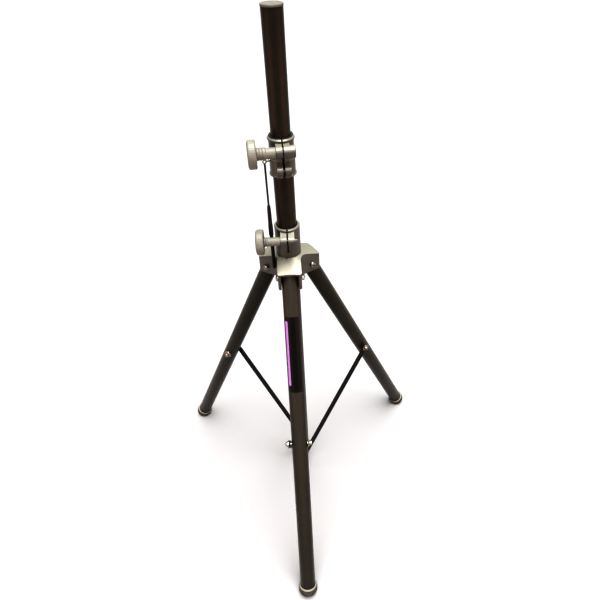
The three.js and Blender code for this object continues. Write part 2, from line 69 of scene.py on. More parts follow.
def high_z(node):
    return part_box(node)[1][2] / MM


def turn(degrees, axis="Z"):
    return Matrix.Rotation(math.radians(degrees), 4, axis)


def shift(x=0.0, y=0.0, z=0.0):
    return Matrix.Translation((x, y, z))


ALONG_X = turn(90, "Y")
ALONG_Y = turn(-90, "X")

mast_low, mast_high = (Vector(corner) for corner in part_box("main_tube"))
MAST = (mast_low + mast_high) / 2
STAND = shift(MAST.x, MAST.y) @ Matrix.Scale(MM, 4)  # mm from the mast's axis and the floor

# ---- Sizes, in mm ----
GAP = 0.3
SHAFT_R = 17.5
MAST_R = 19.05
MAST_BORE_R = 17.85
LEG_R = 17.5
TUBE_WALL = 1.5
LOCK_HOLES_Z = (500, 620, 740, 860)  # through the inner shaft, for the lock pin

LEG_TILT = 24.62
LEG_LENGTH = 752  # from the foot's rim to the pivot bolt
BRACE_BOLT_S = 375  # places along the leg are measured from the foot's rim
LEG_TUBE_S = (-10, LEG_LENGTH + 12)
FOOT_R = 21.5
FOOT_SOLE_S = -22
STRAP_T = -22  # middle of a strap's thickness, from its leg's middle plane
STRAP_HALF = 7.5
STRAP_THICK = 3.5

COLLAR_TURN = 5.3
COLLAR_Z = (low_z("upper_collar"), high_z("upper_collar"))
UPPER_SCREW = (-32, 970)  # y and z of a clamp screw's axis
PINCH_SCREW = (-30, 934)
LOWER_SCREW = (-31.5, 788)
UPPER_EAR_X, LOWER_EAR_X, PINCH_EAR_X = 12, 13.5, 12.6  # an ear's outer face, from its slit
BARREL_R = 10.8  # a barrel through the upper clamp's ears that goes on past the far one
BARREL_END_X = 21.5
POCKET = 5.6  # depth of the pockets that hide the pinch bolt's head and nut
NUT_THICK = 5.2
KNOB_R = 25
KNOB_X = (-61, -45.7)

LOBE_HALF = 24
LOBE_WALL = 6
LOBE_REACH = 60.5
LOBE_FILLET = 21
LOBE_BOTTOM = low_z("leg_housing")
LOBE_TOP = {"r": 25, "z": 742, "slope": 0.41}
HOUSING_TOP = high_z("leg_housing")
HOUSING_R = 25

pivot = JOINTS["leg_front_fold"]["pos_m"]
PIVOT_R = (MAST.y - pivot[1]) / MM
PIVOT_Z = pivot[2] / MM
STRAP_PIVOT_Z = JOINTS["brace_front_fold"]["pos_m"][2] / MM
tilt = math.radians(LEG_TILT)
BRACE_BOLT_R = PIVOT_R + (LEG_LENGTH - BRACE_BOLT_S) * math.sin(tilt)
BRACE_BOLT_Z = PIVOT_Z - (LEG_LENGTH - BRACE_BOLT_S) * math.cos(tilt)
STRAP_LENGTH = math.hypot(BRACE_BOLT_R, BRACE_BOLT_Z - STRAP_PIVOT_Z)
STRAP_LEAN = math.degrees(math.atan2(BRACE_BOLT_R, BRACE_BOLT_Z - STRAP_PIVOT_Z))

cord_low, cord_high = (Vector(corner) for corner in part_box("lanyard_cord"))
CORD_R = 1.8
PIN = (cord_low + cord_high) / 2
PIN_AXIS = shift(PIN.x, PIN.y) @ Matrix.Scale(MM, 4)


def spoke(bearing):
    """x outwards along a leg's bearing, y anticlockwise, z up from the floor."""
    return STAND @ turn(bearing)


def pivot_axis(bearing):
    return spoke(bearing) @ shift(PIVOT_R, 0, PIVOT_Z) @ ALONG_Y


def leg_frame(bearing):
    """z up along a leg from its foot's rim."""
    top = spoke(bearing) @ shift(PIVOT_R, 0, PIVOT_Z) @ turn(-LEG_TILT, "Y")
    return top @ shift(z=-LEG_LENGTH)


def strap_frame(bearing):
    """z up along a brace strap from its lower hole."""
    return spoke(bearing) @ shift(z=STRAP_PIVOT_Z) @ turn(STRAP_LEAN, "Y")


# ---- Camera ----
def add_camera():
    """Stands in front of the stand, above it, and looks down at it."""
    stand_off = Vector((0.0218, -0.8248, 1.31685))  # from the mast's foot, in metres
    yaw, pitch, roll = 0.0425, 0.6675, -0.0271
    level_ahead = Vector((math.sin(yaw), math.cos(yaw), 0))
    forward = level_ahead * math.cos(pitch) - Vector((0, 0, math.sin(pitch)))
    level = Vector((math.cos(yaw), -math.sin(yaw), 0))
    upward = level.cross(forward)
    right = math.cos(roll) * level + math.sin(roll) * upward
    up = -math.sin(roll) * level + math.cos(roll) * upward
    data = bpy.data.cameras.new("camera")
    data.sensor_width = 36
    data.lens = 29.384
    data.shift_x = -0.0287
    data.shift_y = -0.0355
    camera = bpy.data.objects.new("camera", data)
    axes = Matrix((right, up, -forward)).transposed().to_4x4()
    camera.matrix_world = Matrix.Translation(Vector((MAST.x, MAST.y, 0)) + stand_off) @ axes
    bpy.context.collection.objects.link(camera)
    bpy.context.scene.camera = camera


# ---- Materials ----
def base_material(name, color, roughness, metallic=0.0, specular=0.5, tint=(1, 1, 1)):
    material = bpy.data.materials.new(name)
    material.use_nodes = True
    shader = material.node_tree.nodes["Principled BSDF"]
    shader.inputs["Base Color"].default_value = (*color, 1)
    shader.inputs["Roughness"].default_value = roughness
    shader.inputs["Metallic"].default_value = metallic
    shader.inputs["Specular IOR Level"].default_value = specular
    shader.inputs["Specular Tint"].default_value = (*tint, 1)
    return material, material.node_tree, shader


def noise(tree, scale, stretch=(1, 1, 1)):
    """Noise in the piece's own space; scale is in repeats per metre."""
    coordinates = tree.nodes.new("ShaderNodeTexCoord")
    mapping = tree.nodes.new("ShaderNodeMapping")
    mapping.inputs["Scale"].default_value = [scale * s for s in stretch]
    node = tree.nodes.new("ShaderNodeTexNoise")
    node.inputs["Scale"].default_value = 1
    tree.links.new(coordinates.outputs["Object"], mapping.inputs["Vector"])
    tree.links.new(mapping.outputs["Vector"], node.inputs["Vector"])
    return node.outputs["Fac"]


def spread(tree, socket, low, high, start=0.3, stop=0.7):
    """A value that goes from low to high while the socket goes from start to stop."""
    node = tree.nodes.new("ShaderNodeMapRange")
    node.inputs["From Min"].default_value = start
    node.inputs["From Max"].default_value = stop
    node.inputs["To Min"].default_value = low
    node.inputs["To Max"].default_value = high
    tree.links.new(socket, node.inputs["Value"])
    return node.outputs["Result"]


def blend_colors(tree, factor, first, second):
    node = tree.nodes.new("ShaderNodeMix")
    node.data_type = "RGBA"
    for name, value in (("A", first), ("B", second)):
        socket = next(s for s in node.inputs if s.name == name and s.type == "RGBA")
        if isinstance(value, bpy.types.NodeSocket):
            tree.links.new(value, socket)
        else:
            socket.default_value = (*value, 1)
    tree.links.new(factor, node.inputs["Factor"])
    return next(s for s in node.outputs if s.type == "RGBA")


def add_bump(tree, shader, height, distance, strength=0.5):
    node = tree.nodes.new("ShaderNodeBump")
    node.inputs["Strength"].default_value = strength
    node.inputs["Distance"].default_value = distance
    tree.links.new(height, node.inputs["Height"])
    tree.links.new(node.outputs["Normal"], shader.inputs["Normal"])


def mottled(tree, socket, first, second, start=0.3, stop=0.7):
    """first where the socket is under start, second where it is over stop."""
    return blend_colors(tree, spread(tree, socket, 0, 1, start, stop), first, second)


def paint_top_light(tree, color, pale, start, stop):
    """Paints light onto surfaces that face up: the colour turns to pale as a surface's slope in the world
    goes from start up to stop, 1 being level.
    """
    facing = tree.nodes.new("ShaderNodeNewGeometry")
    parts = tree.nodes.new("ShaderNodeSeparateXYZ")
    tree.links.new(facing.outputs["Normal"], parts.inputs["Vector"])
    return mottled(tree, parts.outputs["Z"], color, pale, start, stop)


def tube_paint():
    """Satin black enamel with a warm cast, faint drawing streaks and orange peel, and painted light that
    makes surfaces facing up paler.
    """
    dark, warm, pale = (0.0060, 0.0047, 0.0026), (0.0104, 0.0080, 0.0046), (0.0200, 0.0180, 0.0138)
    material, tree, shader = base_material("tube_paint", dark, 0.34, specular=0.17, tint=(1, 0.9, 0.76))
    shader.inputs["Sheen Weight"].default_value = 0.02
    shader.inputs["Sheen Roughness"].default_value = 0.4
    shader.inputs["Sheen Tint"].default_value = (0.55, 0.28, 0.2, 1)
    body = mottled(tree, noise(tree, 26), dark, warm)
    # The pale colour is painted light: surfaces facing up are painted paler, as if lit from above.
    tree.links.new(paint_top_light(tree, body, pale, 0.26, 0.42), shader.inputs["Base Color"])
    streaks = noise(tree, 260, (1, 1, 0.06))
    tree.links.new(spread(tree, streaks, 0.27, 0.42), shader.inputs["Roughness"])
    add_bump(tree, shader, noise(tree, 900), 0.00004, 0.35)
    return material


def casting_paint():
    """Dark olive-grey paint on die-cast alloy: fine grain, with dull and polished patches, and painted
    light that makes surfaces facing up pale.
    """
    dark, grey, pale = (0.021, 0.0190, 0.0150), (0.036, 0.0325, 0.0260), (0.102, 0.097, 0.076)
    material, tree, shader = base_material("casting_paint", grey, 0.4, specular=0.7, tint=(1, 0.96, 0.87))
    cloud = noise(tree, 90)
    body = mottled(tree, cloud, dark, grey)
    # The pale colour is painted light: surfaces facing up are painted cream, as if lit from above.
    tree.links.new(paint_top_light(tree, body, pale, 0.3, 0.65), shader.inputs["Base Color"])
    tree.links.new(spread(tree, cloud, 0.36, 0.46), shader.inputs["Roughness"])
    add_bump(tree, shader, noise(tree, 1300), 0.00007, 0.5)
    return material


def knob_plastic():
    """Warm grey moulded plastic with a spark-eroded texture and paler handled patches."""
    base, pale = (0.098, 0.093, 0.075), (0.128, 0.121, 0.099)
    material, tree, shader = base_material("knob_plastic", base, 0.45, specular=0.4)
    cloud = noise(tree, 120)
    tree.links.new(mottled(tree, cloud, base, pale), shader.inputs["Base Color"])
    tree.links.new(spread(tree, cloud, 0.44, 0.58), shader.inputs["Roughness"])
    add_bump(tree, shader, noise(tree, 2600), 0.00006, 0.5)
    return material


def black_plastic():
    """Moulded black plastic: liners, plugs and the lock pin's grip."""
    base, pale = (0.004, 0.0036, 0.003), (0.010, 0.009, 0.008)
    material, tree, shader = base_material("black_plastic", base, 0.45, specular=0.15)
    tree.links.new(mottled(tree, noise(tree, 200), base, pale), shader.inputs["Base Color"])
    add_bump(tree, shader, noise(tree, 2200), 0.00005, 0.5)
    return material


def cap_plastic():
    """Cream moulded plastic, a little yellowed and scuffed."""
    base, yellow = (0.088, 0.083, 0.069), (0.070, 0.064, 0.050)
    material, tree, shader = base_material("cap_plastic", base, 0.6, specular=0.2)
    color = mottled(tree, noise(tree, 160), base, yellow, 0.4, 0.8)
    tree.links.new(color, shader.inputs["Base Color"])
    add_bump(tree, shader, noise(tree, 1800), 0.00005, 0.5)
    return material


def foot_rubber():
    """Brown-black rubber with a matte bloom and a fine grain; surfaces facing up, the rim among them, are
    painted pale as painted light.
    """
    base, bloom, painted_light_tone = (0.020, 0.0165, 0.0115), (0.040, 0.033, 0.024), (0.13, 0.12, 0.1)
    material, tree, shader = base_material("foot_rubber", base, 0.66, specular=0.25)
    cloud = noise(tree, 140)
    body = mottled(tree, cloud, base, bloom)
    # The pale colour is painted light: the boot's surfaces facing up are painted paler, as if lit from
    # above.
    tree.links.new(paint_top_light(tree, body, painted_light_tone, 0.5, 0.75), shader.inputs["Base Color"])
    tree.links.new(spread(tree, cloud, 0.62, 0.8), shader.inputs["Roughness"])
    add_bump(tree, shader, noise(tree, 1600), 0.00012, 0.6)
    return material


def nickel_plate():
    """Nickel-plated steel, with fine turning marks and dull patches."""
    bright, dull = (0.27, 0.25, 0.21), (0.13, 0.12, 0.10)
    material, tree, shader = base_material("nickel_plate", bright, 0.25, 1.0)
    cloud = noise(tree, 320)
    tree.links.new(mottled(tree, cloud, bright, dull, 0.45, 0.75), shader.inputs["Base Color"])
    tree.links.new(spread(tree, cloud, 0.18, 0.36), shader.inputs["Roughness"])
    add_bump(tree, shader, noise(tree, 1200, (1, 0.15, 1)), 0.00003, 0.4)
    return material


def strap_paint():
    """Black paint on rolled flat steel: fine streaks along the bar."""
    dark, grey = (0.0015, 0.0013, 0.0009), (0.0045, 0.0038, 0.0028)
    material, tree, shader = base_material("strap_paint", dark, 0.38, specular=0.1)
    streaks = noise(tree, 220, (1, 1, 0.2))
    tree.links.new(mottled(tree, streaks, dark, grey), shader.inputs["Base Color"])
    tree.links.new(spread(tree, streaks, 0.3, 0.5), shader.inputs["Roughness"])
    add_bump(tree, shader, noise(tree, 900), 0.00004, 0.4)
    return material


def cord_braid():
    """Black nylon braid: two sets of strands that cross round the cord."""
    strands, pitch = 8, 0.004  # the pitch is in metres a turn
    dark, sheen = (0.002, 0.002, 0.002), (0.010, 0.010, 0.010)
    material, tree, shader = base_material("cord_braid", dark, 0.55, specular=0.15)
    coordinates = tree.nodes.new("ShaderNodeTexCoord")
    centred = tree.nodes.new("ShaderNodeVectorMath")
    centred.operation = "SUBTRACT"
    centred.inputs[1].default_value = (PIN.x, PIN.y, 0)
    parts = tree.nodes.new("ShaderNodeSeparateXYZ")
    tree.links.new(coordinates.outputs["Object"], centred.inputs[0])
    tree.links.new(centred.outputs[0], parts.inputs[0])

    def math_node(operation, first, second=None):
        node = tree.nodes.new("ShaderNodeMath")
        node.operation = operation
        for slot, value in enumerate((first, second)):
            if isinstance(value, bpy.types.NodeSocket):
                tree.links.new(value, node.inputs[slot])
            elif value is not None:
                node.inputs[slot].default_value = value
        return node.outputs[0]

    bearing = math_node("ARCTAN2", parts.outputs["Y"], parts.outputs["X"])
    around = math_node("MULTIPLY", bearing, strands / 2)
    along = math_node("MULTIPLY", parts.outputs["Z"], math.pi * strands / pitch / 2)
    one_way = math_node("SINE", math_node("ADD", around, along))
    other_way = math_node("SINE", math_node("SUBTRACT", around, along))
    weave = math_node("MAXIMUM", one_way, other_way)
    tree.links.new(mottled(tree, weave, dark, sheen, 0, 1), shader.inputs["Base Color"])
    add_bump(tree, shader, weave, 0.0002, 0.7)
    return material


def label_vinyl(name, color, pale):
    """Printed vinyl with a faint grain."""
    material, tree, shader = base_material(name, color, 0.3, specular=0.12)
    cloud = noise(tree, 700)
    tree.links.new(mottled(tree, cloud, color, pale), shader.inputs["Base Color"])
    tree.links.new(spread(tree, cloud, 0.26, 0.4), shader.inputs["Roughness"])
    return material


# ---- Mesh tools ----
def soften(points, radius, closed, steps=3):
    """The outline with its corners rounded off; the ends of an open one stay."""
    if not radius:
        return [tuple(point) for point in points]
    rounded = []
    for i, point in enumerate(points):
        here = Vector(point)
        before = Vector(points[i - 1]) - here
        after = Vector(points[(i + 1) % len(points)]) - here
        open_end = not closed and i in (0, len(points) - 1)
        if open_end or before.angle(after) > math.radians(168):
            rounded.append(tuple(here))
            continue
        reach = min(radius, 0.45 * before.length, 0.45 * after.length)
        start = here + before.normalized() * reach
        end = here + after.normalized() * reach
        for step in range(steps + 1):
            t = step / steps
            rounded.append(tuple(start * (1 - t) ** 2 + here * 2 * t * (1 - t) + end * t**2))
    return rounded


def turned(profile, place, segments=64, soft=0.4, ripple=None):
    """A body of revolution about Z from (radius, z) points; one off the axis closes on itself."""
    on_axis = profile[0][0] == 0 and profile[-1][0] == 0
    points = soften(profile, soft, not on_axis)
    bm = bmesh.new()
    rings = []
    for radius, z in points:
        if radius == 0:
            rings.append([bm.verts.new(place @ Vector((0, 0, z)))])
            continue
        ring = []
        for i in range(segments):
            angle = math.tau * i / segments
            r = ripple(angle, radius, z) if ripple else radius
            ring.append(bm.verts.new(place @ Vector((r * math.cos(angle), r * math.sin(angle), z))))
        rings.append(ring)
    pairs = list(zip(rings, rings[1:]))
    if not on_axis:
        pairs.append((rings[-1], rings[0]))
    for lower, upper in pairs:
        for i in range(segments):
            j = (i + 1) % segments
            corners = [
                lower[i % len(lower)], lower[j % len(lower)],
                upper[j % len(upper)], upper[i % len(upper)],
            ]
            corners = list(dict.fromkeys(corners))
            if len(corners) > 2:
                bm.faces.new(corners)
    bmesh.ops.recalc_face_normals(bm, faces=bm.faces[:])
    return bm


def rod(radius, z0, z1, place, segments=48, soft=0.0):
    return turned([(0, z0), (radius, z0), (radius, z1), (0, z1)], place, segments, soft)


def raised(outline, z0, z1, place):
    """A flat outline in x and y given its thickness along z."""
    bm = bmesh.new()
    lower = [bm.verts.new(place @ Vector((x, y, z0))) for x, y in outline]
    upper = [bm.verts.new(place @ Vector((x, y, z1))) for x, y in outline]
    bm.faces.new(lower)
    bm.faces.new(upper)
    for i in range(len(outline)):
        j = (i + 1) % len(outline)
        bm.faces.new((lower[i], lower[j], upper[j], upper[i]))
    bmesh.ops.recalc_face_normals(bm, faces=bm.faces[:])
    return bm


def block(x, y, z, place):
    outline = [(x[0], y[0]), (x[1], y[0]), (x[1], y[1]), (x[0], y[1])]
    return raised(outline, z[0], z[1], place)


def arc(centre, radius, start, stop, steps):
    """Points along an arc, its angles in degrees."""
    angles = [math.radians(start + (stop - start) * i / steps) for i in range(steps + 1)]
    return [(centre[0] + radius * math.cos(a), centre[1] + radius * math.sin(a)) for a in angles]


def loose_object(bm):
    mesh = bpy.data.meshes.new("loose")
    bm.to_mesh(mesh)
    bm.free()
    made = bpy.data.objects.new("loose", mesh)
    bpy.context.collection.objects.link(made)
    return made


def combined(operation, base, *tools):
    """base with the tools joined on, cut away or kept in common; all of them are used up."""
    target = loose_object(base)
    others = [loose_object(tool) for tool in tools]
    for other in others:
        modifier = target.modifiers.new("combine", "BOOLEAN")
        modifier.operation = operation
        modifier.solver = "MANIFOLD"
        modifier.object = other
    bm = bmesh.new()
    bm.from_object(target, bpy.context.evaluated_depsgraph_get())
    for made in (target, *others):
        mesh = made.data
        bpy.data.objects.remove(made)
        bpy.data.meshes.remove(mesh)
    bmesh.ops.remove_doubles(bm, verts=bm.verts[:], dist=0.002 * MM)
    bmesh.ops.dissolve_degenerate(bm, edges=bm.edges[:], dist=0.002 * MM)
    return bm


def join(base, *tools):
    return combined("UNION", base, *tools)


def cut(base, *tools):
    return combined("DIFFERENCE", base, *tools)


def add_piece(name, bm, material, body, replaced=(), bevel=0.0):
    """A finished piece that rides on a body. bevel is in mm and rounds its sharp edges."""
    mesh = bpy.data.meshes.new(name)
    bm.to_mesh(mesh)
    bm.free()
    for polygon in mesh.polygons:
        polygon.use_smooth = True
    mesh.set_sharp_from_angle(angle=math.radians(38))
    mesh.materials.append(material)
    piece = bpy.data.objects.new(name, mesh)
    bpy.context.collection.objects.link(piece)
    if bevel:
        rounding = piece.modifiers.new("edges", "BEVEL")
        rounding.width = bevel * MM
        rounding.segments = 3
        rounding.limit_method = "ANGLE"
        rounding.angle_limit = math.radians(38)
        rounding.miter_outer = "MITER_ARC"
        weighted = piece.modifiers.new("normals", "WEIGHTED_NORMAL")
        weighted.keep_sharp = True
    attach(piece, body)
    if replaced:
        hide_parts(*replaced)
    return piece


def stand_in(name, bm, material, node, bevel=0.0):
    """A piece that takes one CAD node's place and its body."""
    return add_piece(name, bm, material, BODY_OF[node], (node,), bevel)


def threaded(radius, z0, z1, pitch, place, depth=0.55, segments=24):
    """A screw's thread with chamfered ends, from z0 to z1."""
    steps_a_turn = 8
    rows = round((z1 - z0) / pitch * steps_a_turn)
    bm = bmesh.new()
    rings = []
    for row in range(rows + 1):
        z = z0 + (z1 - z0) * row / rows
        chamfer = max(0, radius * 0.2 - min(z - z0, z1 - z))
        ring = []
        for i in range(segments):
            phase = z / pitch - i / segments
            groove = depth * (0.5 - 0.5 * math.cos(math.tau * phase))
            r = min(radius - groove, radius - chamfer)
            angle = math.tau * i / segments
            ring.append(bm.verts.new(place @ Vector((r * math.cos(angle), r * math.sin(angle), z))))
        rings.append(ring)
    for lower, upper in zip(rings, rings[1:]):
        for i in range(segments):
            j = (i + 1) % segments
            bm.faces.new((lower[i], lower[j], upper[j], upper[i]))
    bm.faces.new(rings[0])
    bm.faces.new(rings[-1])
    bmesh.ops.recalc_face_normals(bm, faces=bm.faces[:])
    return bm


def ring_wire(ring_r, wire_r, place, around=48, across=16):
    """A closed ring of round wire in the plane of x and y."""
    bm = bmesh.new()
    loops = []
    for i in range(around):
        a = math.tau * i / around
        loop = []
        for j in range(across):
            b = math.tau * j / across
            r = ring_r + wire_r * math.cos(b)
            point = Vector((r * math.cos(a), r * math.sin(a), wire_r * math.sin(b)))
            loop.append(bm.verts.new(place @ point))
        loops.append(loop)
    for i in range(around):
        here, beyond = loops[i], loops[(i + 1) % around]
        for j in range(across):
            k = (j + 1) % across
            bm.faces.new((here[j], beyond[j], beyond[k], here[k]))
    bmesh.ops.recalc_face_normals(bm, faces=bm.faces[:])
    return bm


def hex_prism(flats, z0, z1, place):
    outline = arc((0, 0), flats / math.sqrt(3), 0, 300, 5)
    return raised(outline, z0, z1, place)


def hex_nut(flats, z0, z1, bore, place):
    """A nut with chamfered corners on both faces and a countersunk bore."""
    corner = flats / math.sqrt(3)
    drop = (corner - flats / 2) * 0.9
    cone = turned([
        (0, z0), (flats / 2 - 0.3, z0), (corner + 0.3, z0 + drop),
        (corner + 0.3, z1 - drop), (flats / 2 - 0.3, z1), (0, z1),
    ], place, 60, 0)
    body = combined("INTERSECT", hex_prism(flats, z0, z1, place), cone)
    hole = turned([
        (0, z0 - 1), (bore + 1.4, z0 - 1), (bore, z0 + 0.7),
        (bore, z1 - 0.7), (bore + 1.4, z1 + 1), (0, z1 + 1),
    ], place, 32, 0)
    return cut(body, hole)


# ---- Inner shaft, main tube and their plastic ----
def strap_screw_axis(bearing):
    return spoke(bearing) @ shift(z=STRAP_PIVOT_Z) @ ALONG_Y


def strap_screw_holes():
    return [rod(3.3, -30, 0, strap_screw_axis(bearing), 32) for bearing in LEGS.values()]


def add_tube(name, node, inner, outer, z0, z1, place, holes, material):
    profile = [(inner, z0), (outer, z0), (outer, z1), (inner, z1)]
    tube = turned(profile, place, 96, 0.35)
    if holes:
        tube = cut(tube, *holes)
    return stand_in(name, tube, material, node)


def add_mast(paint, plastic, cap, steel):
    shaft_low, shaft_high = low_z("inner_shaft"), high_z("inner_shaft")
    pin_holes = [rod(3.6, -30, 30, STAND @ shift(z=z) @ ALONG_X, 32) for z in LOCK_HOLES_Z]
    add_tube("shaft_tube", "inner_shaft", SHAFT_R - TUBE_WALL, SHAFT_R, shaft_low, shaft_high,
             STAND, pin_holes, paint)
    cap_low, top = low_z("shaft_top_cap"), high_z("shaft_top_cap")
    spigot = SHAFT_R - TUBE_WALL - GAP
    lid = turned([
        (0, cap_low), (spigot - 1, cap_low), (spigot, cap_low + 2), (spigot, shaft_high + GAP),
        (18, shaft_high + GAP), (18, top - 1.4), (16.9, top - 0.3),
        (12.5, top), (11.8, top - 0.5), (0, top - 0.5),
    ], STAND, 96, 0.5)
    stand_in("shaft_cap_moulding", lid, cap, "shaft_top_cap")
    bush_low = low_z("shaft_glide_bush")
    bush_r = MAST_BORE_R - GAP
    bush = turned([
        (0, bush_low), (bush_r - 1, bush_low), (bush_r, bush_low + 1), (bush_r, shaft_low - GAP),
        (spigot, shaft_low - GAP), (spigot, shaft_low + 20), (spigot - 1.5, shaft_low + 22),
        (0, shaft_low + 22),
    ], STAND, 64)
    stand_in("glide_bush_moulding", bush, plastic, "shaft_glide_bush")

    foot, head = low_z("main_tube"), high_z("main_tube")
    add_tube("mast_tube", "main_tube", MAST_BORE_R, MAST_R, foot, head, STAND, strap_screw_holes(), paint)
    plug_low = low_z("main_tube_bottom_plug")
    plug = turned([
        (0, plug_low + 1), (9, plug_low + 1), (10, plug_low), (MAST_R - 1.5, plug_low),
        (MAST_R, plug_low + 1.5), (MAST_R, foot - GAP), (MAST_BORE_R - GAP, foot - GAP),
        (MAST_BORE_R - GAP, foot + 28), (0, foot + 28),
    ], STAND, 64)
    stand_in("mast_plug_moulding", cut(plug, *strap_screw_holes()), plastic, "main_tube_bottom_plug")
    for leg, bearing in LEGS.items():
        outer = STRAP_T - STRAP_THICK / 2
        screw = turned([
            (0, -11), (3, -11), (3, outer - GAP), (6, outer - GAP), (6, outer - 2.6),
            (4.4, outer - 4), (2.4, outer - 4), (2.1, outer - 2.2), (0, outer - 2.2),
        ], strap_screw_axis(bearing), 40, 0.35)
        stand_in("strap_screw_turned_" + leg, screw, steel, "strap_screw_" + leg)


# ---- Clamp ears and screws ----
def ear_outline(screw, back_top, back_bottom, lug_r, flat_top):
    """Drawn in (distance in front of the mast, height): a lug whose top is flat, then round."""
    reach, height = -screw[0], screw[1]
    front = arc((reach, height), lug_r, -90, flat_top, 14)
    back = MAST_R + 1.5
    return [(back, back_bottom), (reach - 4, height - lug_r + 0.4), *front, (back, back_top)]


def ears(screw, back_top, back_bottom, lug_r, flat_top, half_span, place):
    """Both ears as one bar across the slit, which is cut out later."""
    basis = Matrix(((0, 0, -1, half_span), (-1, 0, 0, 0), (0, 1, 0, 0), (0, 0, 0, 1)))
    outline = ear_outline(screw, back_top, back_bottom, lug_r, flat_top)
    return raised(outline, 0, 2 * half_span, place @ basis)


def add_knob(which, screw, place, plastic, steel):
    """Knurled disc, ribbed sleeve and clamp screw, along X through the screw's axis."""
    x0, x1 = KNOB_X
    thick = x1 - x0
    axis = place @ shift(0, *screw) @ ALONG_X
    flutes, flute_depth = 40, 0.12

    def flute(angle, radius, z):
        grip = max(0, (radius - KNOB_R + 1.6) / 1.6)
        return radius - flute_depth * grip * (0.5 + 0.5 * math.cos(flutes * angle)) ** 2

    disc = turned([
        (0, 1.1), (9, 1.1), (9.8, 0.2), (20.4, 0), (23.2, 0.9), (KNOB_R, 3),
        (KNOB_R, thick - 2.4), (24.2, thick - 0.7), (23, thick), (14.5, thick), (13.8, thick - 1.2),
        (4.6, thick - 1.2), (4.6, thick - 8), (0, thick - 8),
    ], axis @ shift(z=x0), flutes * 8, 0.8, flute)
    stand_in(which + "_knob_disc", disc, plastic, which + "_knob")

    if which == "upper":
        ear, reach = UPPER_EAR_X, BARREL_END_X - 1.5
        ridges = [(11, x1 + GAP), (11, x1 + 3.9), (9.7, x1 + 5), (11, x1 + 6.1), (11, x1 + 8.9),
                  (9.7, x1 + 10), (11, x1 + 11.1), (11, x1 + 15), (9.4, x1 + 16.2)]
        barrel = 9.4
    else:
        ear, reach = LOWER_EAR_X, LOWER_EAR_X + 5.5
        ridges = [(9.8, x1 + GAP), (9.8, x1 + 2.6), (8.2, x1 + 3.4), (8.2, x1 + 4.4), (9.8, x1 + 5.2),
                  (9.8, x1 + 6.6), (8.5, x1 + 7.4)]
        barrel = 8.5
    end = -ear - GAP
    sleeve = turned([
        (4.6, x1 + GAP), *ridges, (barrel, end - 0.8), (barrel - 0.8, end), (4.6, end),
    ], axis, 72, 0.5)
    stand_in(which + "_sleeve_moulding", sleeve, plastic, which + "_knob_sleeve")
    bolt = threaded(4, x1 - 7.6, reach, 1.5, axis)
    stand_in(which + "_clamp_thread", bolt, steel, which + "_clamp_screw")


